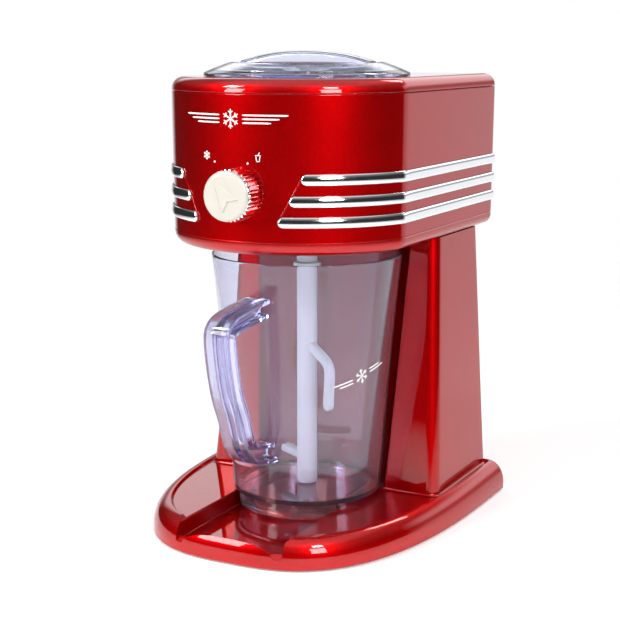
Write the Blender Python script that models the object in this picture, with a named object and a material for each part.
"""Countertop slushie machine: the frame, the moving pieces and their sizes.

Metres, +Z up, front towards -Y. Everything hangs from one empty that stands on the floor under
the jug's centre line, so inside this file the jug, the paddle and the drive all turn about x = y = 0.
"""

import math

import bmesh
import bpy
from mathutils import Matrix, Vector

# Shared
CLEARANCE = 0.0003  # between pieces that touch
WALL = 0.0025  # moulded housings
ROUND_STEPS = 36  # sides of a large turned piece
SMALL_STEPS = 12  # sides of a bush or pin
SCREW_STEPS = 8

# Base
BASE_HALF_WIDTH = 0.1253
BASE_FRONT = 0.1347  # jug centre to the front edge
BASE_REAR = 0.136
BASE_WIDEST_Y = 0.120
BASE_EXPONENT = 2.874  # squareness of the plan
BASE_LIFT = 0.0015  # the feet hold the shell this high
DECK_Z = 0.0225
RIM_Z = 0.0250
RIM_DEPTH = 0.013  # how far in the rounded rim reaches
DECK_STEP = 0.0018  # plan width of the step from the rim down to the deck
RIM_START_Z = 0.007
FOOT_RADIUS = 0.0085
FOOT_X, FOOT_FRONT_Y, FOOT_REAR_Y = 0.088, -0.052, 0.112
PLATE_THICKNESS = 0.002
FOOT_STEM = 0.0032
BOSS_RADIUS = 0.0045
BASE_SCREW_X, BASE_SCREW_FRONT_Y, BASE_SCREW_REAR_Y = 0.072, -0.066, 0.122
BASE_SCREW_HEAD, BASE_SCREW_SHANK, BASE_SCREW_END = 0.0032, 0.0015, 0.0135
SCREW_BORE = 0.0003  # from a shank to its pilot

# Channel that the jug slides along
CHANNEL_HALF_WIDTH = 0.0465
CHANNEL_FLOOR_Z = 0.0095
CHANNEL_LIP_Z = 0.0125
CHANNEL_LIP_DEPTH = 0.012
SEAT_RADIUS = 0.044
SEAT_Z = 0.0128

# Column
COLUMN_HALF_TOP, COLUMN_HALF_BOTTOM = 0.094, 0.1065
COLUMN_FRONT_TOP, COLUMN_FRONT_BOTTOM = 0.046, 0.022
COLUMN_CORNER = 0.009
NICHE_CLEAR_TOP, NICHE_CLEAR_BOTTOM = 0.0081, 0.0034  # from the jug to the niche behind it
BACK_COVER_HALF, BACK_COVER_LOW, BACK_COVER_HIGH = 0.070, 0.056, 0.204
BACK_COVER_LAP = 0.007
BACK_COVER_THICKNESS = 0.002
COVER_SCREW_HEAD, COVER_SCREW_SHANK = 0.0030, 0.0014
VENT_COUNT, VENT_PITCH, VENT_HEIGHT, VENT_HALF = 7, 0.012, 0.005, 0.020
CORD_HOLE_RADIUS, CORD_X, CORD_Z = 0.005, -0.060, 0.040
GLAND_BORE, GLAND_RADIUS = 0.0033, 0.0075

# Jug
JUG_FLOOR_THICKNESS = 0.0022
JUG_HEIGHT = 0.1952  # underside of the floor to the rim
JUG_BOTTOM_RADIUS = 0.0606
JUG_RIM_RADIUS = 0.0769
JUG_WALL = 0.0024
JUG_FOOT_RADIUS = 0.057
JUG_FOOT_CLEAR = 0.0007
HANDLE_WIDTH, HANDLE_DEPTH = 0.022, 0.016
HANDLE_REACH = 0.1235
HANDLE_TURN = math.radians(-3.3)  # round the jug, towards the left
HANDLE_TOP, HANDLE_BOTTOM = 0.1605, 0.0445  # roots, above the jug's floor

# Paddle
ROD_RADIUS = 0.0083
PADDLE_REACH = 0.036
PADDLE_ARM = 0.0065
PADDLE_UPPER, PADDLE_TINE_END, PADDLE_LOWER = 0.1175, 0.0695, 0.0235  # above the jug's floor
PADDLE_TURN = math.radians(-29)
TANG_THICKNESS, TANG_WIDTH, TANG_LENGTH = 0.005, 0.014, 0.0055
PIVOT_RADIUS, PIVOT_HEIGHT = 0.003, 0.008
COLLAR_PROUD, COLLAR_BELOW_RIM = 0.0027, 0.0128

# Head
HEAD_OVER_JUG = 0.011  # jug rim to the head's lower edge
HEAD_HEIGHT = 0.118  # lower edge to the seam
HEAD_HALF_WIDTH = 0.1004
HEAD_FRONT_RADIUS = 0.1045
HEAD_FRONT_CENTRE = -0.004
HEAD_BEHIND_MOTOR = 0.032  # motor's can to the head's rear face
HEAD_CORNER = 0.009
HEAD_DRAFT = math.tan(math.radians(1.0))
HEAD_LOWER_ROUND = 0.0085
TOP_COVER_HEIGHT = 0.0105
MOUTH_RADIUS = 0.079

# Trim strips: height of each centre below the seam, and where it ends on the front
STRIP_HEIGHT, STRIP_PROUD = 0.0085, 0.0021
STRIP_GAP = 0.0005  # from the head to the back of a strip
STRIP_DROPS = (0.0613, 0.0772, 0.0925)
STRIP_FRONT_X = (0.051, 0.042, 0.0335)
STRIP_SHORT = 0.0055  # a strip's end to the head's rear face

# Ice path inside the head, as heights above the head's floor
FLOOR_THICKNESS = 0.0025
CHUTE_TOP_RADIUS, CHUTE_BOTTOM_RADIUS = 0.060, 0.044
CHUTE_WALL, CHUTE_FLANGE = 0.002, 0.008
BLADE_PLATE_RADIUS = 0.0665
BLADE_PLATE_THICKNESS = 0.0025
HOPPER_FLOOR_RADIUS = 0.0585
HOPPER_WALL = 0.002
BLADE_INNER, BLADE_OUTER, BLADE_WIDTH = 0.034, 0.053, 0.008

# Drive
SPINDLE_RADIUS = 0.0045
HUB_RADIUS = 0.011
HUB_OVER_JUG = 0.003  # jug rim to the hub's underside
MODULE, PRESSURE_ANGLE = 0.0020, math.radians(25)
MAIN_TEETH, IDLER_TEETH, PINION_TEETH = 26, 34, 12
BACKLASH = 0.0003
GEAR_WIDTH = 0.010
GEARBOX_OVER_FLOOR = 0.028
GEARBOX_HEIGHT = 0.019
GEARBOX_WALL = 0.002
MOTOR_RADIUS, MOTOR_HEIGHT = 0.023, 0.056
MOTOR_SHAFT_RADIUS = 0.0025
BUSH_WALL, BUSH_FLANGE = 0.003, 0.002
IDLER_PIN_RADIUS = 0.003
GEARBOX_LEG_RADIUS, GEARBOX_LEG_X, GEARBOX_LEG_BEHIND = 0.005, 0.030, 0.014  # behind the idler
SPINDLE_ABOVE_HOPPER = 0.040
BRACKET_WALL = 0.003
BRACKET_SIDE, BRACKET_BEHIND = 0.006, 0.005  # beyond the motor's can

# Knob
KNOB_DROP = 0.0725  # seam to the knob's axis
KNOB_RADIUS = 0.0195
KNOB_RING_DEPTH, KNOB_CAP_DEPTH = 0.0155, 0.0040
KNOB_SOCKET = 0.0020  # how far the shaft enters the cap
KNOB_SHAFT_RADIUS = 0.003
KNOB_RING_BORE = 0.0075
SWITCH_HALF, SWITCH_DEPTH = 0.011, 0.020
KNOB_POINTER = math.radians(37)  # from straight up, towards the left

# Lid
LID_RADIUS = 0.0817
LID_RISE = 0.0170
LID_FLANGE = 0.0022
LID_WALL = 0.002
LID_SCOOP_RADIUS = 0.054
LID_WEB_HALF, LID_WEB_LENGTH = 0.0055, 0.056

# Heights that follow from the sizes above
JUG_FLOOR_Z = RIM_Z + CLEARANCE  # the jug slides out over the rim
JUG_RIM_Z = JUG_FLOOR_Z + JUG_HEIGHT
HEAD_Z = JUG_RIM_Z + HEAD_OVER_JUG
SEAM_Z = HEAD_Z + HEAD_HEIGHT
TOP_Z = SEAM_Z + CLEARANCE + TOP_COVER_HEIGHT
LID_Z = TOP_Z + CLEARANCE
COLUMN_Z = DECK_Z + CLEARANCE
COLUMN_TOP_Z = HEAD_Z - CLEARANCE
FLOOR_Z = HEAD_Z
FLOOR_TOP_Z = FLOOR_Z + FLOOR_THICKNESS
GEARBOX_Z = FLOOR_TOP_Z + GEARBOX_OVER_FLOOR
GEARBOX_TOP_Z = GEARBOX_Z + GEARBOX_HEIGHT
GEAR_Z = GEARBOX_Z + GEARBOX_WALL + 0.0018
CHUTE_TOP_Z = GEARBOX_TOP_Z + 0.004
BLADE_PLATE_Z = CHUTE_TOP_Z + CLEARANCE
HOPPER_Z = BLADE_PLATE_Z + BLADE_PLATE_THICKNESS + CLEARANCE
HUB_Z = JUG_RIM_Z + HUB_OVER_JUG
KNOB_Z = SEAM_Z - KNOB_DROP
PLATE_Z = BASE_LIFT + CLEARANCE

# Gear centres on the machine's middle plane, and pitch radii
MAIN_PITCH, IDLER_PITCH, PINION_PITCH = (MODULE * n / 2 for n in (MAIN_TEETH, IDLER_TEETH, PINION_TEETH))
IDLER_Y = MAIN_PITCH + IDLER_PITCH
MOTOR_Y = IDLER_Y + IDLER_PITCH + PINION_PITCH
HEAD_REAR = MOTOR_Y + MOTOR_RADIUS + HEAD_BEHIND_MOTOR
STRIP_REAR_Y = HEAD_REAR - STRIP_SHORT

# The row's origin is under the middle of the whole machine
JUG_AXIS_Y = (BASE_FRONT - HEAD_REAR) / 2


# ---------------------------------------------------------------- tools

for old in list(bpy.data.objects):
    bpy.data.objects.remove(old)

machine = bpy.data.objects.new("machine", None)
machine.location = (0, JUG_AXIS_Y, 0)
bpy.context.collection.objects.link(machine)


def finish(name, colour, roughness, metallic=0.0, coat=0.0, transmission=0.0):
    """A Principled material."""
    made = bpy.data.materials.new(name)
    made.use_nodes = True
    shader = made.node_tree.nodes["Principled BSDF"]
    shader.inputs["Base Color"].default_value = (*colour, 1)
    shader.inputs["Roughness"].default_value = roughness
    shader.inputs["Metallic"].default_value = metallic
    shader.inputs["Coat Weight"].default_value = coat
    shader.inputs["Transmission Weight"].default_value = transmission
    return made


RED = finish("candy_red", (0.62, 0.008, 0.02), 0.2, metallic=0.5, coat=1.0)
CHROME = finish("chrome", (0.85, 0.86, 0.88), 0.08, metallic=1.0)
IVORY = finish("ivory", (0.86, 0.83, 0.76), 0.35)
CLEAR = finish("clear_plastic", (0.80, 0.84, 0.98), 0.05, transmission=0.9)
WHITE = finish("white_plastic", (0.90, 0.90, 0.92), 0.4)
DARK = finish("dark_plastic", (0.03, 0.03, 0.035), 0.5)
RUBBER = finish("rubber", (0.02, 0.02, 0.02), 0.8)
STEEL = finish("steel", (0.60, 0.60, 0.62), 0.3, metallic=1.0)
BRASS = finish("sintered_bronze", (0.55, 0.38, 0.18), 0.4, metallic=1.0)
NYLON = finish("nylon", (0.85, 0.83, 0.75), 0.5)


def solid(name, bm, material=None, location=(0, 0, 0), turn=(0, 0, 0), cutter=False):
    """An object of the machine from a bmesh, with its faces out. A cutter is hidden from renders."""
    bmesh.ops.remove_doubles(bm, verts=bm.verts, dist=1e-6)
    bmesh.ops.recalc_face_normals(bm, faces=bm.faces)
    mesh = bpy.data.meshes.new(name)
    bm.to_mesh(mesh)
    bm.free()
    made = bpy.data.objects.new(name, mesh)
    made.parent = machine
    made.location = location
    made.rotation_euler = turn
    bpy.context.collection.objects.link(made)
    if material:
        mesh.materials.append(material)
        mesh.shade_smooth()
        mesh.set_sharp_from_angle(angle=math.radians(32))
    if cutter:
        made.hide_render = True
        made.display_type = "WIRE"
    return made


def boolean(target, other, operation="DIFFERENCE"):
    modifier = target.modifiers.new(f"{operation.lower()} {other.name}", "BOOLEAN")
    modifier.object = other
    modifier.operation = operation
    modifier.solver = "EXACT"


def cut(target, *cutters):
    for cutter in cutters:
        boolean(target, cutter)


def join(target, *others):
    for other in others:
        boolean(target, other, "UNION")


def loft(rings):
    """A closed body through rings of equal count, with flat ends."""
    bm = bmesh.new()
    loops = [[bm.verts.new(p) for p in ring] for ring in rings]
    count = len(loops[0])
    for low, high in zip(loops, loops[1:]):
        for i in range(count):
            j = (i + 1) % count
            bm.faces.new((low[i], low[j], high[j], high[i]))
    bm.faces.new(loops[0])
    bm.faces.new(loops[-1])
    return bm


def prism(outline, low, high):
    return loft([[(x, y, z) for x, y in outline] for z in (low, high)])


def box(low, high):
    bm = bmesh.new()
    middle = (Vector(low) + Vector(high)) / 2
    size = Vector(high) - Vector(low)
    bmesh.ops.create_cube(bm, matrix=Matrix.Translation(middle) @ Matrix.Diagonal((*size, 1)))
    return bm


def turned(profile, steps=ROUND_STEPS):
    """A body of revolution about Z from a closed (radius, z) profile. Points on the axis close it."""
    bm = bmesh.new()
    verts = [bm.verts.new((r, 0, z)) for r, z in profile]
    edges = [
        bm.edges.new((a, b))
        for a, b in zip(verts, verts[1:] + verts[:1])
        if a.co.x > 0 or b.co.x > 0
    ]
    bmesh.ops.spin(
        bm, geom=verts + edges, cent=(0, 0, 0), axis=(0, 0, 1),
        angle=2 * math.pi, steps=steps, use_merge=True,
    )
    bmesh.ops.remove_doubles(bm, verts=bm.verts, dist=1e-6)
    return bm


def disc(radius, low, high, steps=SMALL_STEPS):
    return turned([(0, low), (radius, low), (radius, high), (0, high)], steps)


def moved(bm, x=0.0, y=0.0, z=0.0):
    bmesh.ops.translate(bm, verts=bm.verts, vec=(x, y, z))
    return bm


def circle(radius, steps, x=0.0, y=0.0):
    angles = [2 * math.pi * i / steps for i in range(steps)]
    return [(x + radius * math.cos(a), y + radius * math.sin(a)) for a in angles]


def arc(radius, start, end, steps, x=0.0, y=0.0):
    angles = [start + (end - start) * i / steps for i in range(steps + 1)]
    return [(x + radius * math.cos(a), y + radius * math.sin(a)) for a in angles]


def at_corners(x, front, rear):
    """The four corners of a rectangle that is even about the middle plane."""
    return [(side * x, y) for y in (front, rear) for side in (-1, 1)]


# ---------------------------------------------------------------- base


def base_outline(inset, steps=40):
    """The base's plan: a squared ellipse in front, straight sides and a flat rear."""
    half = BASE_HALF_WIDTH - inset
    reach = BASE_FRONT - inset + BASE_WIDEST_Y
    points = []
    for i in range(steps + 1):
        angle = math.pi * i / steps
        across = math.copysign(abs(math.cos(angle)) ** (2 / BASE_EXPONENT), math.cos(angle))
        along = abs(math.sin(angle)) ** (2 / BASE_EXPONENT)
        points.append((half * across, BASE_WIDEST_Y - reach * along))
    return [(half, BASE_REAR), *points, (-half, BASE_REAR)]


def base_ring(inset, z, rear_inset=0.0):
    return [(x, min(y, BASE_REAR - rear_inset), z) for x, y in base_outline(inset)]


def channel_outline(grow=0.0):
    """From the front edge back to a round end behind the jug's foot."""
    half = CHANNEL_HALF_WIDTH + grow
    end = JUG_FOOT_RADIUS + JUG_FOOT_CLEAR + grow
    turn = math.acos(half / end)
    return [(half, -BASE_FRONT - WALL), *arc(end, turn, math.pi - turn, 10), (-half, -BASE_FRONT - WALL)]


def make_base():
    rim = [base_ring(0, BASE_LIFT)]
    for degrees in (0, 25, 50, 70, 90):
        angle = math.radians(degrees)
        inset = RIM_DEPTH * (1 - math.cos(angle))
        rim.append(base_ring(inset, RIM_START_Z + (RIM_Z - RIM_START_Z) * math.sin(angle)))
    rim.append(base_ring(RIM_DEPTH + DECK_STEP / 2, DECK_Z + 0.0008))
    rim.append(base_ring(RIM_DEPTH + DECK_STEP, DECK_Z))
    base = solid("base_shell", loft(rim), RED)

    roof = DECK_Z - WALL
    hollow = solid("cut_base_hollow", loft([
        base_ring(WALL, BASE_LIFT - WALL, WALL),
        base_ring(WALL + 0.0006, 0.011, WALL),
        base_ring(RIM_DEPTH * 0.6 + WALL, roof, WALL),
    ]), cutter=True)
    tray = solid("keep_channel_wall", prism(channel_outline(WALL), CHANNEL_FLOOR_Z - WALL, RIM_Z),
                 cutter=True)
    cut(hollow, tray)
    for i, (x, y) in enumerate(at_corners(BASE_SCREW_X, BASE_SCREW_FRONT_Y, BASE_SCREW_REAR_Y)):
        post = moved(disc(BOSS_RADIUS, PLATE_Z + PLATE_THICKNESS + CLEARANCE, DECK_Z), x, y)
        cut(hollow, solid(f"keep_boss_{i + 1}", post, cutter=True))
    cut(base, hollow)

    pocket = solid("cut_channel", prism(channel_outline(), CHANNEL_FLOOR_Z, RIM_Z + WALL), cutter=True)
    lip = solid("keep_channel_floor", loft([
        base_ring(CHANNEL_LIP_DEPTH, BASE_LIFT),
        base_ring(CHANNEL_LIP_DEPTH, RIM_Z + 2 * WALL),
    ]), cutter=True)
    boolean(pocket, lip, "INTERSECT")
    gate = solid("cut_channel_gate", prism(channel_outline(-0.0001), CHANNEL_LIP_Z, RIM_Z + WALL),
                 cutter=True)
    seat = solid("keep_seat", disc(SEAT_RADIUS, CHANNEL_FLOOR_Z - WALL / 2, SEAT_Z, ROUND_STEPS),
                 cutter=True)
    cut(base, pocket, gate)
    join(base, seat)
    for i, (x, y) in enumerate(at_corners(BASE_SCREW_X, BASE_SCREW_FRONT_Y, BASE_SCREW_REAR_Y)):
        pilot = moved(disc(BASE_SCREW_SHANK + SCREW_BORE, -WALL, BASE_SCREW_END + 0.001, SCREW_STEPS), x, y)
        cut(base, solid(f"cut_pilot_{i + 1}", pilot, cutter=True))


def make_base_plate():
    plate = solid("base_plate", loft([
        base_ring(WALL + CLEARANCE + 0.0002, z, WALL + CLEARANCE)
        for z in (PLATE_Z, PLATE_Z + PLATE_THICKNESS)
    ]), DARK)
    top = PLATE_Z + PLATE_THICKNESS
    for i, (x, y) in enumerate(at_corners(FOOT_X, FOOT_FRONT_Y, FOOT_REAR_Y)):
        stem = FOOT_STEM
        cut(plate, solid(f"cut_foot_hole_{i + 1}",
                         moved(disc(stem + CLEARANCE, -WALL, top + WALL, 12), x, y), cutter=True))
        profile = [
            (0, 0), (FOOT_RADIUS - 0.0008, 0), (FOOT_RADIUS, BASE_LIFT), (stem, BASE_LIFT),
            (stem, top + CLEARANCE), (stem + 0.0012, top + CLEARANCE), (stem * 0.7, top + 0.0022),
            (0, top + 0.0022),
        ]
        solid(f"foot_{i + 1}", turned(profile, SMALL_STEPS), RUBBER, (x, y, 0))
    for i, (x, y) in enumerate(at_corners(BASE_SCREW_X, BASE_SCREW_FRONT_Y, BASE_SCREW_REAR_Y)):
        cut(plate, solid(f"cut_screw_hole_{i + 1}",
                         moved(disc(BASE_SCREW_SHANK + SCREW_BORE, -WALL, top + WALL, SCREW_STEPS), x, y),
                         cutter=True))
        head, shank, end = BASE_SCREW_HEAD, BASE_SCREW_SHANK, BASE_SCREW_END
        profile = [(0, CLEARANCE), (head - 0.0002, CLEARANCE), (head, PLATE_Z - CLEARANCE),
                   (shank, PLATE_Z - CLEARANCE), (shank, end - 0.001), (0, end)]
        solid(f"base_screw_{i + 1}", turned(profile, SCREW_STEPS), STEEL, (x, y, 0))


# ---------------------------------------------------------------- column


def column_ring(share, inset, z):
    """The column's plan: a box with rounded front corners and a round niche for the jug."""
    half = COLUMN_HALF_BOTTOM + (COLUMN_HALF_TOP - COLUMN_HALF_BOTTOM) * share - inset
    front = COLUMN_FRONT_BOTTOM + (COLUMN_FRONT_TOP - COLUMN_FRONT_BOTTOM) * share + inset
    bottom_niche = JUG_BOTTOM_RADIUS + NICHE_CLEAR_BOTTOM
    niche = bottom_niche + (JUG_RIM_RADIUS + NICHE_CLEAR_TOP - bottom_niche) * share + inset
    corner = COLUMN_CORNER - inset
    edge = math.asin(front / niche)
    right = arc(corner, 0, -math.pi / 2, 3, half - corner, front + corner)
    left = arc(corner, -math.pi / 2, -math.pi, 3, corner - half, front + corner)
    plan = [(half, BASE_REAR - inset), *right, *arc(niche, edge, math.pi - edge, 14), *left,
            (-half, BASE_REAR - inset)]
    return [(x, y, z) for x, y in plan]


def make_column():
    column = solid("column_shell", loft([
        column_ring(0, 0, COLUMN_Z), column_ring(0.5, 0, (COLUMN_Z + COLUMN_TOP_Z) / 2),
        column_ring(1, 0, COLUMN_TOP_Z),
    ]), RED)
    hollow = solid("cut_column_hollow", loft([
        column_ring(0, WALL, COLUMN_Z - WALL), column_ring(0.5, WALL, (COLUMN_Z + COLUMN_TOP_Z) / 2),
        column_ring(1, WALL, COLUMN_TOP_Z + WALL),
    ]), cutter=True)
    half = BACK_COVER_HALF - BACK_COVER_LAP
    window = solid("cut_column_window", box(
        (-half, BASE_REAR - 2 * WALL, BACK_COVER_LOW + BACK_COVER_LAP),
        (half, BASE_REAR + WALL, BACK_COVER_HIGH - BACK_COVER_LAP),
    ), cutter=True)
    to_rear = (math.pi / 2, 0, 0)
    inlet = solid("cut_cord_inlet", disc(CORD_HOLE_RADIUS, -2 * WALL, 2 * WALL),
                  location=(CORD_X, BASE_REAR, CORD_Z), turn=to_rear, cutter=True)
    cut(column, hollow, window, inlet)

    face, thickness = BASE_REAR + CLEARANCE, BACK_COVER_THICKNESS
    cover = solid("column_back_cover", box(
        (-BACK_COVER_HALF, face, BACK_COVER_LOW), (BACK_COVER_HALF, face + thickness, BACK_COVER_HIGH),
    ), RED)
    middle = (BACK_COVER_LOW + BACK_COVER_HIGH) / 2
    for i in range(VENT_COUNT):
        z = middle + (i - (VENT_COUNT - 1) / 2) * VENT_PITCH
        for side in (-1, 1):
            x = side * VENT_HALF * 1.4
            cut(cover, solid(f"cut_vent_{i + 1}_{side}", box(
                (x - VENT_HALF, face - WALL, z - VENT_HEIGHT / 2),
                (x + VENT_HALF, face + 2 * WALL, z + VENT_HEIGHT / 2),
            ), cutter=True))
    x = BACK_COVER_HALF - BACK_COVER_LAP / 2
    for i, z in enumerate((BACK_COVER_LOW + BACK_COVER_LAP, BACK_COVER_HIGH - BACK_COVER_LAP)):
        for j, side in enumerate((-1, 1)):
            name = f"{2 * i + j + 1}"
            place = (side * x, BASE_REAR, z)
            bore = disc(COVER_SCREW_SHANK + SCREW_BORE, -0.006, 0.006, SCREW_STEPS)
            hole = solid(f"cut_cover_screw_{name}", bore,
                         location=place, turn=to_rear, cutter=True)
            cut(cover, hole)
            cut(column, hole)
            outer = -(CLEARANCE * 2 + thickness)
            head, shank = COVER_SCREW_HEAD, COVER_SCREW_SHANK
            screw = turned([(0, outer - 0.0016), (head - 0.0008, outer - 0.0016), (head, outer - 0.0004),
                            (head, outer), (shank, outer), (shank, 0.0055), (0, 0.0065)], SCREW_STEPS)
            solid(f"cover_screw_{name}", screw, STEEL, place, to_rear)

    bore, sleeve = GLAND_BORE, CORD_HOLE_RADIUS - CLEARANCE
    gland = turned([(bore, -0.0045), (GLAND_RADIUS - 0.0015, -0.0045), (GLAND_RADIUS, -0.0030),
                    (GLAND_RADIUS, -CLEARANCE),
                    (sleeve, -CLEARANCE), (sleeve, 0.006), (bore, 0.006)], SMALL_STEPS)
    solid("cord_gland", gland, RUBBER, (CORD_X, BASE_REAR, CORD_Z), to_rear)


# ---------------------------------------------------------------- head


def head_outline(inset, front_steps=18):
    """The head's plan: a round front, flat sides that start at a crease, and a flat rear."""
    side, radius = HEAD_HALF_WIDTH - inset, HEAD_FRONT_RADIUS - inset
    rear, corner = HEAD_REAR - inset, max(HEAD_CORNER - inset, 0.0015)
    crease = math.acos(side / radius)
    front = arc(radius, -crease, crease - math.pi, front_steps, 0, HEAD_FRONT_CENTRE)
    left = arc(corner, math.pi, math.pi / 2, 3, corner - side, rear - corner)
    right = arc(corner, math.pi / 2, 0, 3, side - corner, rear - corner)
    return [*front, *left, *right]


def draft_at(z):
    """How far the head's side stands in at a height, from the slope of the moulding."""
    return HEAD_DRAFT * (SEAM_Z - z) * 0.5


def head_ring(inset, z):
    return [(x, y, z) for x, y in head_outline(inset + draft_at(z))]


def head_rings(inset):
    rings = []
    for degrees in (0, 35, 65, 90):
        angle = math.radians(degrees)
        rounding = HEAD_LOWER_ROUND * (1 - math.sin(angle))
        rings.append(head_ring(inset + rounding, HEAD_Z + HEAD_LOWER_ROUND * (1 - math.cos(angle))))
    return [*rings, head_ring(inset, SEAM_Z)]


def front_face_y(z):
    """Where the middle of the head's front stands at a height."""
    return HEAD_FRONT_CENTRE - HEAD_FRONT_RADIUS + draft_at(z)


def make_head():
    head = solid("head_shell", loft(head_rings(0)), RED)
    inner = head_rings(WALL)
    below = [(x, y, HEAD_Z - WALL) for x, y, z in inner[0]]
    above = [(x, y, SEAM_Z + WALL) for x, y, z in inner[-1]]
    hollow = solid("cut_head_hollow", loft([below, *inner, above]), cutter=True)
    shaft = solid("cut_knob_hole", disc(KNOB_SHAFT_RADIUS + 0.0008, -0.010, 0.010),
                  location=(0, front_face_y(KNOB_Z), KNOB_Z), turn=(math.pi / 2, 0, 0), cutter=True)
    cut(head, hollow, shaft)

    cover = solid("head_top_cover", loft([
        head_ring(TOP_COVER_HEIGHT * (1 - math.cos(math.radians(a))),
                  SEAM_Z + CLEARANCE + TOP_COVER_HEIGHT * math.sin(math.radians(a)))
        for a in (0, 30, 60, 90)
    ]), RED)
    hollow = solid("cut_cover_hollow", loft([
        head_ring(WALL, SEAM_Z - WALL), head_ring(WALL, SEAM_Z + CLEARANCE + 0.003),
        head_ring(WALL + 0.006, TOP_Z - WALL),
    ]), cutter=True)
    mouth = solid("cut_mouth", disc(MOUTH_RADIUS, SEAM_Z - WALL, TOP_Z + WALL, ROUND_STEPS),
                  cutter=True)
    cut(cover, hollow, mouth)


def make_head_floor():
    inset = HEAD_LOWER_ROUND + WALL + CLEARANCE + 0.0003
    floor = solid("head_floor", loft([head_ring(inset, FLOOR_Z), head_ring(inset, FLOOR_TOP_Z)]), DARK)
    outlet = solid("cut_outlet", disc(CHUTE_BOTTOM_RADIUS - 0.001, FLOOR_Z - WALL, FLOOR_TOP_Z + WALL,
                                      ROUND_STEPS), cutter=True)
    wires = solid("cut_wire_hole", moved(disc(0.012, FLOOR_Z - WALL, FLOOR_TOP_Z + WALL), 0.055,
                                         (JUG_RIM_RADIUS + NICHE_CLEAR_TOP + BASE_REAR) / 2),
                  cutter=True)
    cut(floor, outlet, wires)


def strip_path(front_x, z):
    """(x, y, normal) along the head's right side and round to the front, at a height."""
    inset = draft_at(z)
    side, radius = HEAD_HALF_WIDTH - inset, HEAD_FRONT_RADIUS - inset
    crease, end = -math.acos(side / radius), -math.acos(front_x / radius)
    steps = 8
    path = [(side, STRIP_REAR_Y, (1, 0)), (side, HEAD_FRONT_CENTRE + radius * math.sin(crease), None)]
    for i in range(1, steps + 1):
        a = crease + (end - crease) * i / steps
        normal = (math.cos(a), math.sin(a))
        path.append((radius * normal[0], HEAD_FRONT_CENTRE + radius * normal[1], normal))
    bend = crease / 2
    path[1] = (path[1][0], path[1][1], (math.cos(bend), math.sin(bend)))
    return path


def make_trim():
    section = [(0, -0.5), (0.45, -0.5), (0.88, -0.3), (1, 0), (0.88, 0.3), (0.45, 0.5), (0, 0.5)]
    for i, (drop, front_x) in enumerate(zip(STRIP_DROPS, STRIP_FRONT_X)):
        z = SEAM_Z - drop
        for side, word in ((-1, "left"), (1, "right")):
            rings = [
                [(side * (x + n[0] * (STRIP_GAP + out * STRIP_PROUD)),
                  y + n[1] * (STRIP_GAP + out * STRIP_PROUD), z + up * STRIP_HEIGHT)
                 for out, up in section]
                for x, y, n in strip_path(front_x, z)
            ]
            solid(f"trim_strip_{word}_{i + 1}", loft(rings), CHROME)


# ---------------------------------------------------------------- knob


def make_knob():
    face = front_face_y(KNOB_Z)
    place, to_front = (0, face, KNOB_Z), (math.pi / 2, 0, 0)
    ring_low = 0.0006
    ring_high = ring_low + KNOB_RING_DEPTH
    outer, waist = KNOB_RADIUS, KNOB_RADIUS - 0.0015
    ring = turned([
        (KNOB_RING_BORE, ring_low), (outer, ring_low), (outer + 0.0006, ring_low + 0.0015),
        (outer, ring_low + 0.003), (waist, ring_high - 0.002), (waist - 0.001, ring_high),
        (KNOB_RING_BORE, ring_high),
    ], 24)
    solid("knob_ring", ring, CHROME, place, to_front)

    low = ring_high + CLEARANCE
    high = low + KNOB_CAP_DEPTH
    radius = KNOB_RADIUS - 0.001
    cap = solid("knob_cap", turned([
        (0, low), (radius, low), (radius, high - 0.003), (radius - 0.0008, high - 0.0012),
        (radius - 0.003, high), (0, high),
    ], 24), IVORY, place, to_front)
    width, length, proud = 0.0034, radius * 0.62, 0.0009
    pointer = prism([(-width, -length), (width, -length), (width, length * 0.45), (0, length),
                     (-width, length * 0.45)], high - 0.002, high + proud)
    bmesh.ops.rotate(pointer, verts=pointer.verts, matrix=Matrix.Rotation(KNOB_POINTER, 3, "Z"))
    join(cap, solid("add_pointer", pointer, location=place, turn=to_front, cutter=True))
    back = -0.0150
    cut(cap, solid("cut_cap_socket", disc(KNOB_SHAFT_RADIUS + CLEARANCE, low - 0.001, low + KNOB_SOCKET),
                   location=place, turn=to_front, cutter=True))
    shaft = turned([(0, back), (KNOB_SHAFT_RADIUS, back), (KNOB_SHAFT_RADIUS, low + KNOB_SOCKET - 0.0005),
                    (0, low + KNOB_SOCKET - 0.0005)], SMALL_STEPS)
    solid("knob_shaft", shaft, STEEL, place, to_front)

    body = face + WALL + 0.002
    switch = solid("selector_switch", box((-SWITCH_HALF, body, KNOB_Z - SWITCH_HALF),
                                          (SWITCH_HALF, body + SWITCH_DEPTH, KNOB_Z + SWITCH_HALF)), DARK)
    socket = solid("cut_switch_bore", disc(KNOB_SHAFT_RADIUS + CLEARANCE, -0.0155, 0.002),
                   location=place, turn=to_front, cutter=True)
    cut(switch, socket)


# ---------------------------------------------------------------- ice path


def make_hopper():
    mouth, top = MOUTH_RADIUS - CLEARANCE, TOP_Z - 0.0005
    under = TOP_Z - WALL - CLEARANCE
    low, wall = HOPPER_Z, HOPPER_WALL
    flange = mouth + 0.006
    profile = [
        (mouth, top), (mouth, under), (flange, under), (flange, under - wall),
        (mouth - 0.0005, under - wall), (HOPPER_FLOOR_RADIUS + wall, low + 0.006),
        (HOPPER_FLOOR_RADIUS + 0.0055, low + 0.002), (HOPPER_FLOOR_RADIUS + 0.0055, low),
        (HOPPER_FLOOR_RADIUS, low), (HOPPER_FLOOR_RADIUS, low + 0.006),
        (mouth - wall, under - wall * 2), (mouth - wall, top),
    ]
    solid("hopper", turned(profile), CLEAR)


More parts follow.
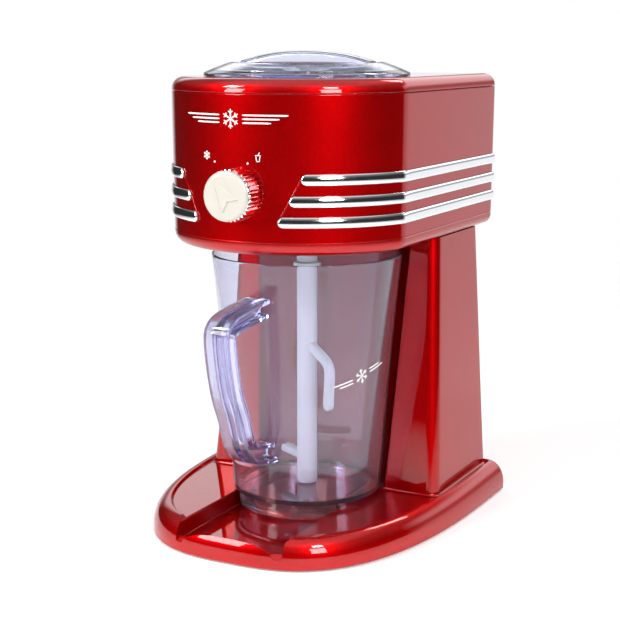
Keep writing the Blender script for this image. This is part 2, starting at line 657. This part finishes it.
def make_blade():
    plate = solid("blade_plate", disc(BLADE_PLATE_RADIUS - 0.001, BLADE_PLATE_Z,
                                      BLADE_PLATE_Z + BLADE_PLATE_THICKNESS, ROUND_STEPS), STEEL)
    top = BLADE_PLATE_Z + BLADE_PLATE_THICKNESS
    hole = solid("cut_spindle_hole", disc(SPINDLE_RADIUS + 0.001, BLADE_PLATE_Z - WALL, top + WALL),
                 cutter=True)
    cut(plate, hole)
    for i, side in enumerate((-1, 1)):
        low, high = sorted((side * BLADE_INNER, side * BLADE_OUTER))
        slot = solid(f"cut_blade_slot_{i + 1}", box(
            (low, -BLADE_WIDTH / 2, BLADE_PLATE_Z - WALL), (high, BLADE_WIDTH / 2, top + WALL)),
            cutter=True)
        cut(plate, slot)
        gap = CLEARANCE
        blade = loft([
            [(x, -BLADE_WIDTH / 2 + gap, BLADE_PLATE_Z), (x, BLADE_WIDTH / 2 - 0.003, BLADE_PLATE_Z),
             (x, BLADE_WIDTH / 2 - 0.0022, top + 0.0004), (x, BLADE_WIDTH / 2 - 0.003, top + 0.0004)]
            for x in (low + gap, high - gap)
        ])
        solid(f"shaver_blade_{i + 1}", blade, STEEL)


def make_chute():
    top, wall = CHUTE_TOP_Z, CHUTE_WALL
    floor = FLOOR_TOP_Z + CLEARANCE
    profile = [
        (CHUTE_TOP_RADIUS, top), (BLADE_PLATE_RADIUS, top), (BLADE_PLATE_RADIUS, top - 0.0015),
        (CHUTE_TOP_RADIUS + wall, top - 0.0015), (CHUTE_TOP_RADIUS + wall, GEARBOX_Z),
        (CHUTE_BOTTOM_RADIUS + wall, floor + 0.002), (CHUTE_BOTTOM_RADIUS + CHUTE_FLANGE, floor + 0.002),
        (CHUTE_BOTTOM_RADIUS + CHUTE_FLANGE, floor), (CHUTE_BOTTOM_RADIUS, floor),
        (CHUTE_TOP_RADIUS, GEARBOX_Z),
    ]
    chute = solid("snow_chute", turned(profile), WHITE)
    half = MAIN_PITCH + MODULE + GEARBOX_WALL + 0.0035
    notch = solid("cut_chute_notch", box(
        (-half - 0.010, 0, GEARBOX_Z - 2 * CLEARANCE),
        (half + 0.010, BLADE_PLATE_RADIUS + WALL, GEARBOX_TOP_Z + 2 * CLEARANCE)), cutter=True)
    cut(chute, notch)


# ---------------------------------------------------------------- drive


def gear_outline(teeth, phase):
    """An involute gear with a tooth centred at the phase angle."""
    pitch = MODULE * teeth / 2
    base = pitch * math.cos(PRESSURE_ANGLE)

    def involute(radius):
        angle = math.acos(min(1, base / radius))
        return math.tan(angle) - angle

    half = math.pi / (2 * teeth) - BACKLASH / (2 * pitch)
    widths = []
    for radius in (pitch - 1.15 * MODULE, pitch, pitch + 0.92 * MODULE):
        shown = max(radius, base)
        widths.append((radius, half + involute(pitch) - involute(shown)))
    points = []
    for k in range(teeth):
        middle = phase + 2 * math.pi * k / teeth
        tooth = [(r, middle - w) for r, w in widths] + [(r, middle + w) for r, w in reversed(widths)]
        points += [(r * math.cos(a), r * math.sin(a)) for r, a in tooth]
    return points


def make_gear(name, teeth, phase, y, bore, material):
    gear = solid(name, prism(gear_outline(teeth, phase), GEAR_Z, GEAR_Z + GEAR_WIDTH), material,
                 (0, y, 0))
    hole = solid(f"cut_{name}_bore", disc(bore, GEAR_Z - WALL, GEAR_Z + GEAR_WIDTH + WALL),
                 location=(0, y, 0), cutter=True)
    cut(gear, hole)


def gearbox_outline(grow):
    """Wraps the three gears with straight sides between them."""
    main, idler, pinion = (p + MODULE + 0.0012 + grow for p in (MAIN_PITCH, IDLER_PITCH, PINION_PITCH))
    pinion = max(pinion, MOTOR_SHAFT_RADIUS + 0.012 + grow)
    first = math.asin((main - idler) / IDLER_Y)
    second = math.asin((idler - pinion) / (MOTOR_Y - IDLER_Y))
    right = [
        *arc(main, -math.pi / 2, first, 8),
        *arc(idler, first, second, 4, 0, IDLER_Y),
        *arc(pinion, second, math.pi / 2, 6, 0, MOTOR_Y),
    ]
    return right + [(-x, y) for x, y in reversed(right) if x > 1e-9]


def make_gearbox():
    shell = GEARBOX_WALL
    lid = GEARBOX_TOP_Z - shell
    bush = SPINDLE_RADIUS + BUSH_WALL
    pin = IDLER_PIN_RADIUS + CLEARANCE
    tray = solid("gearbox_tray", prism(gearbox_outline(GEARBOX_WALL), GEARBOX_Z, lid - CLEARANCE), DARK)
    pocket = solid("cut_gear_pocket", prism(gearbox_outline(0), GEARBOX_Z + shell, lid + WALL),
                   cutter=True)
    cut(tray, pocket)
    for i, side in enumerate((-1, 1)):
        leg = solid(f"add_leg_{i + 1}", moved(
            disc(GEARBOX_LEG_RADIUS, FLOOR_TOP_Z + CLEARANCE, GEARBOX_Z + shell / 2), side * GEARBOX_LEG_X,
            IDLER_Y + GEARBOX_LEG_BEHIND), cutter=True)
        join(tray, leg)
    through = (GEARBOX_Z - WALL, GEARBOX_Z + 2 * WALL)
    for name, y, radius in (("main", 0, bush), ("idler", IDLER_Y, pin)):
        cut(tray, solid(f"cut_tray_{name}", moved(disc(radius, *through), 0, y), cutter=True))

    plate = solid("gearbox_lid", prism(gearbox_outline(GEARBOX_WALL), lid, GEARBOX_TOP_Z), DARK)
    for name, y, radius in (("main", 0, bush), ("idler", IDLER_Y, pin), ("motor", MOTOR_Y, 0.006)):
        cut(plate, solid(f"cut_lid_{name}", moved(disc(radius, lid - WALL, GEARBOX_TOP_Z + WALL), 0, y),
                         cutter=True))

    outer, inner = bush - CLEARANCE, SPINDLE_RADIUS + CLEARANCE
    for name, low, flange in (("lower_bush", GEARBOX_Z, -1), ("upper_bush", lid, 1)):
        high = low + shell
        rim = (low - CLEARANCE, low - 0.0018) if flange < 0 else (high + CLEARANCE, high + 0.0018)
        near, far = rim
        other = high if flange < 0 else low
        profile = [(inner, other), (outer, other), (outer, near), (outer + BUSH_FLANGE, near),
                   (outer + BUSH_FLANGE, far), (inner, far)]
        solid(name, turned(profile, SMALL_STEPS), BRASS)
    solid("idler_pin", disc(IDLER_PIN_RADIUS, GEARBOX_Z, GEARBOX_TOP_Z), STEEL, (0, IDLER_Y, 0))


def make_spindle():
    top = HOPPER_Z + SPINDLE_ABOVE_HOPPER
    hub_top = FLOOR_TOP_Z + 0.006
    spindle = solid("drive_spindle", turned([
        (0, HUB_Z), (HUB_RADIUS - 0.001, HUB_Z), (HUB_RADIUS, HUB_Z + 0.001), (HUB_RADIUS, hub_top),
        (SPINDLE_RADIUS, hub_top + 0.004), (SPINDLE_RADIUS, top), (0, top),
    ], 16), STEEL)
    slot = TANG_THICKNESS / 2 + CLEARANCE
    tall = TANG_LENGTH + 2 * CLEARANCE
    cut(spindle, solid("cut_hub_slot", box((-slot, -HUB_RADIUS - WALL, HUB_Z - WALL),
                                           (slot, HUB_RADIUS + WALL, HUB_Z + tall)), cutter=True))
    hub = HOPPER_Z + 0.001
    reach, high = BLADE_OUTER - 0.001, 0.034
    pusher = solid("ice_pusher", disc(0.0105, hub, hub + high + 0.012, 16), WHITE)
    for i in range(3):
        fin = loft([
            [(x, y * 0.0016, z) for y, z in ((-1, hub), (1, hub), (1, hub + tall_z), (-1, hub + tall_z))]
            for x, tall_z in ((0.006, high + 0.008), (0.030, high * 0.75), (reach, high * 0.4))
        ])
        bmesh.ops.rotate(fin, verts=fin.verts, matrix=Matrix.Rotation(2 * math.pi * (i + 0.5) / 3, 3, "Z"))
        join(pusher, solid(f"add_fin_{i + 1}", fin, cutter=True))
    cut(pusher, solid("cut_pusher_bore", disc(SPINDLE_RADIUS + CLEARANCE, hub - WALL, top + CLEARANCE),
                      cutter=True))


def make_motor():
    low = GEARBOX_TOP_Z + CLEARANCE
    can = low + MOTOR_HEIGHT
    motor = solid("motor", turned([
        (0, low), (MOTOR_RADIUS * 0.45, low), (MOTOR_RADIUS * 0.45, low + 0.004),
        (MOTOR_RADIUS - 0.002, low + 0.004), (MOTOR_RADIUS, low + 0.006), (MOTOR_RADIUS, can - 0.002),
        (MOTOR_RADIUS - 0.002, can), (0, can),
    ], 24), STEEL, (0, MOTOR_Y, 0))
    bore = solid("cut_motor_bore", disc(MOTOR_SHAFT_RADIUS + CLEARANCE, low - WALL, low + 0.012, 12),
                 location=(0, MOTOR_Y, 0), cutter=True)
    cut(motor, bore)
    shaft = turned([(0, GEARBOX_Z + 0.0026), (MOTOR_SHAFT_RADIUS, GEARBOX_Z + 0.0026),
                    (MOTOR_SHAFT_RADIUS, low + 0.0115), (0, low + 0.0115)], 12)
    solid("motor_shaft", shaft, STEEL, (0, MOTOR_Y, 0))

    # A saddle that carries the motor from the head's floor, behind and beside the can
    half, wall = MOTOR_RADIUS + BRACKET_SIDE, BRACKET_WALL
    floor = FLOOR_TOP_Z + CLEARANCE
    clear = MOTOR_RADIUS + CLEARANCE
    back = MOTOR_Y + MOTOR_RADIUS + BRACKET_BEHIND
    bracket = solid("motor_bracket", box((-half, back, floor), (half, back + wall, can - 0.010)), STEEL)
    foot = solid("add_bracket_foot", box((-half, back - 0.016, floor), (half, back + 0.001, floor + wall)),
                 cutter=True)
    ledge_z = low + MOTOR_HEIGHT * 0.55
    ledge = solid("add_bracket_clamp", box((-half, MOTOR_Y + 0.004, ledge_z),
                                           (half, back + 0.001, ledge_z + 0.010)), cutter=True)
    join(bracket, foot, ledge)
    cut(bracket, solid("cut_bracket_bore", disc(clear, ledge_z - WALL, ledge_z + 0.010 + WALL, 24),
                       location=(0, MOTOR_Y, 0), cutter=True))


# ---------------------------------------------------------------- lid


def lid_height(radius, rise):
    """Height of the dome over its rim."""
    return rise * (1 - (radius / LID_RADIUS) ** 2.2)


def make_lid():
    low = LID_Z
    skirt = MOUTH_RADIUS - HOPPER_WALL - 2 * CLEARANCE - 0.0008
    dip = LID_FLANGE + 0.0012
    dome = [(LID_RADIUS * s, low + LID_FLANGE + lid_height(LID_RADIUS * s, LID_RISE))
            for s in (0.97, 0.92, 0.86, 0.79)]
    outer = [(0, low + dip), (LID_SCOOP_RADIUS - 0.004, low + dip), (LID_SCOOP_RADIUS, low + dip + 0.002),
             (LID_SCOOP_RADIUS + 0.004, dome[-1][1] - 0.001)]
    profile = [(0, low - 0.006), (skirt, low - 0.006), (skirt, low), (LID_RADIUS, low),
               (LID_RADIUS, low + LID_FLANGE), *dome, *reversed(outer)]
    lid = solid("lid", turned(profile), CLEAR)

    def web(shrink, base):
        """The grip across the middle: a bar whose top follows the dome."""
        length, half = LID_WEB_LENGTH - shrink, LID_WEB_HALF - shrink
        steps = 12
        rings = []
        for i in range(steps + 1):
            x = length * (2 * i / steps - 1)
            top = low + LID_FLANGE + lid_height(abs(x), LID_RISE) - shrink
            rings.append([(x, -half, base), (x, half, base), (x, half * 0.75, top), (x, -half * 0.75, top)])
        return loft(rings)

    join(lid, solid("add_lid_web", web(0, low + dip - 0.001), cutter=True))
    ceiling = low + dip - LID_WALL
    under = solid("cut_lid_under", disc(skirt - LID_WALL, low - 0.006 - WALL, ceiling, ROUND_STEPS),
                  cutter=True)
    groove = turned([
        (LID_SCOOP_RADIUS + 0.004, ceiling - 0.002), (skirt - LID_WALL, ceiling - 0.002),
        (skirt - LID_WALL, low + LID_FLANGE + lid_height(skirt - LID_WALL, LID_RISE) - LID_WALL * 1.4),
        (LID_SCOOP_RADIUS + 0.008, low + LID_FLANGE + lid_height(LID_SCOOP_RADIUS + 0.008, LID_RISE)
         - LID_WALL * 1.2),
    ])
    cut(lid, under, solid("cut_lid_dome", groove, cutter=True),
        solid("cut_lid_web", web(LID_WALL, ceiling - 0.001), cutter=True))


# ---------------------------------------------------------------- jug and paddle


def jug_radius(height):
    """Outer radius at a height over the jug's floor: a gentle flare that opens faster near the rim."""
    share = height / JUG_HEIGHT
    return JUG_BOTTOM_RADIUS + (JUG_RIM_RADIUS - JUG_BOTTOM_RADIUS) * (0.9 * share + 0.1 * share ** 4)


def make_jug():
    low = JUG_FLOOR_Z
    heights = [0.0025, JUG_HEIGHT * 0.12, JUG_HEIGHT * 0.5, JUG_HEIGHT * 0.85, JUG_HEIGHT - 0.001]
    outside = [(jug_radius(h), low + h) for h in heights]
    inside = [(jug_radius(h) - JUG_WALL, low + h) for h in reversed(heights[1:])]
    floor = low + JUG_FLOOR_THICKNESS
    profile = [
        (0, low), (JUG_BOTTOM_RADIUS - 0.002, low), *outside, (JUG_RIM_RADIUS - 0.0005, JUG_RIM_Z),
        (JUG_RIM_RADIUS - JUG_WALL, JUG_RIM_Z), *inside, (JUG_BOTTOM_RADIUS - JUG_WALL - 0.004, floor),
        (PIVOT_RADIUS, floor), (PIVOT_RADIUS, floor + PIVOT_HEIGHT), (0, floor + PIVOT_HEIGHT),
    ]
    jug = solid("jug", turned(profile), CLEAR)

    def keyed(shrink, bottom, top):
        """A round foot with two flats that the channel guides."""
        radius = JUG_FOOT_RADIUS - shrink
        flat = CHANNEL_HALF_WIDTH - JUG_FOOT_CLEAR - shrink
        turn = math.acos(min(0.999, flat / radius))
        plan = [*arc(radius, turn, math.pi - turn, 14), *arc(radius, math.pi + turn, -turn + 2 * math.pi, 14)]
        return prism(plan, bottom, top)

    bottom = SEAT_Z + CLEARANCE
    join(jug, solid("add_jug_foot", keyed(0, bottom, low + JUG_FLOOR_THICKNESS / 2), cutter=True))
    cut(jug, solid("cut_jug_foot", keyed(JUG_WALL, bottom - WALL, low - JUG_WALL / 2), cutter=True))


def handle_path():
    """Middle line of the handle as (reach, height over the jug's floor), rounded at both bends."""
    points = [
        (jug_radius(HANDLE_TOP) + CLEARANCE * 2, HANDLE_TOP), (HANDLE_REACH - 0.024, HANDLE_TOP - 0.003),
        (HANDLE_REACH - 0.004, HANDLE_TOP - 0.008), (HANDLE_REACH, HANDLE_TOP - 0.019),
        (HANDLE_REACH - 0.007, HANDLE_TOP - 0.055), (HANDLE_REACH - 0.017, HANDLE_BOTTOM + 0.036),
        (HANDLE_REACH - 0.025, HANDLE_BOTTOM + 0.014), (HANDLE_REACH - 0.037, HANDLE_BOTTOM + 0.004),
        (jug_radius(HANDLE_BOTTOM) + CLEARANCE * 2, HANDLE_BOTTOM),
    ]
    path = []
    for i in range(len(points) - 1):
        ends = [Vector(points[max(0, min(len(points) - 1, i + k))]) for k in (-1, 0, 1, 2)]
        a, b, c, d = ends
        for t in (0, 0.5):
            path.append(0.5 * (2 * b + (c - a) * t + (2 * a - 5 * b + 4 * c - d) * t ** 2
                               + (3 * b - a - 3 * c + d) * t ** 3))
    return [*path, Vector(points[-1])]


def make_handle():
    path = handle_path()
    half, depth = HANDLE_WIDTH / 2, HANDLE_DEPTH / 2
    bevel = 0.003
    section = [(half, -depth + bevel), (half, depth - bevel), (half - bevel, depth), (bevel - half, depth),
               (-half, depth - bevel), (-half, bevel - depth), (bevel - half, -depth), (half - bevel, -depth)]
    rings = []
    for i, point in enumerate(path):
        if i in (0, len(path) - 1):
            across = Vector((0, 1 if i == 0 else -1))
        else:
            along = (path[i + 1] - path[i - 1]).normalized()
            across = Vector((-along.y, along.x))
        ring = []
        for x, out in section:
            reach, height = point + across * out
            if i in (0, len(path) - 1):
                reach = jug_radius(height) + CLEARANCE
            ring.append((x, -reach, JUG_FLOOR_Z + height))
        rings.append(ring)
    solid("jug_handle", loft(rings), CLEAR, turn=(0, 0, HANDLE_TURN))


def make_paddle():
    foot = JUG_FLOOR_Z + JUG_FLOOR_THICKNESS + CLEARANCE
    top = HUB_Z - CLEARANCE
    collar = JUG_RIM_Z - COLLAR_BELOW_RIM
    bore, deep = PIVOT_RADIUS + CLEARANCE, PIVOT_HEIGHT + CLEARANCE
    wide = ROD_RADIUS + COLLAR_PROUD
    paddle = solid("paddle", turned([
        (bore, foot), (ROD_RADIUS, foot), (ROD_RADIUS, collar), (wide, collar + 0.0008),
        (wide, collar + 0.0042), (ROD_RADIUS, collar + 0.005), (ROD_RADIUS, top - 0.0008),
        (ROD_RADIUS - 0.0008, top), (0, top), (0, foot + deep), (bore, foot + deep),
    ], 20), WHITE)
    half = TANG_THICKNESS / 2
    tang = solid("add_tang", box((-half, -TANG_WIDTH / 2, top - WALL),
                                 (half, TANG_WIDTH / 2, top + TANG_LENGTH)), cutter=True)

    arm, reach = PADDLE_ARM / 2, PADDLE_REACH
    upper, end, lower = (JUG_FLOOR_Z + h for h in (PADDLE_UPPER, PADDLE_TINE_END, PADDLE_LOWER))

    def bar(points, wide, name):
        """A flat bar of one width along points in the paddle's own plane."""
        rings = []
        for (x, z), (across, up) in points:
            rings.append([(x + across * arm, -wide, z + up * arm), (x + across * arm, wide, z + up * arm),
                          (x - across * arm, wide, z - up * arm), (x - across * arm, -wide, z - up * arm)])
        bm = loft(rings)
        bmesh.ops.rotate(bm, verts=bm.verts, matrix=Matrix.Rotation(PADDLE_TURN, 3, "Z"))
        return solid(name, bm, cutter=True)

    hook = bar([((0.004, upper), (0, 1)), ((reach - 0.010, upper - 0.0045), (0.2, 0.98)),
                ((reach - arm, upper - 0.0095), (0.7, 0.7)), ((reach - arm, end), (1, 0))], 0.0030,
               "add_paddle_hook")
    flat = bar([((-0.004, lower), (0, 1)), ((-reach, lower), (0, 1))], 0.0042, "add_paddle_bar")
    join(paddle, tang, hook, flat)


make_base()
make_base_plate()
make_column()
make_head()
make_head_floor()
make_trim()
make_knob()
make_hopper()
make_blade()
make_chute()
make_gear("main_gear", MAIN_TEETH, math.pi / 2, 0, SPINDLE_RADIUS + CLEARANCE, NYLON)
make_gear("idler_gear", IDLER_TEETH, math.pi / IDLER_TEETH - math.pi / 2, IDLER_Y,
          IDLER_PIN_RADIUS + CLEARANCE, NYLON)
make_gear("motor_pinion", PINION_TEETH, -math.pi / 2, MOTOR_Y, MOTOR_SHAFT_RADIUS + CLEARANCE, BRASS)
make_gearbox()
make_spindle()
make_motor()
make_lid()
make_jug()
make_handle()
make_paddle()
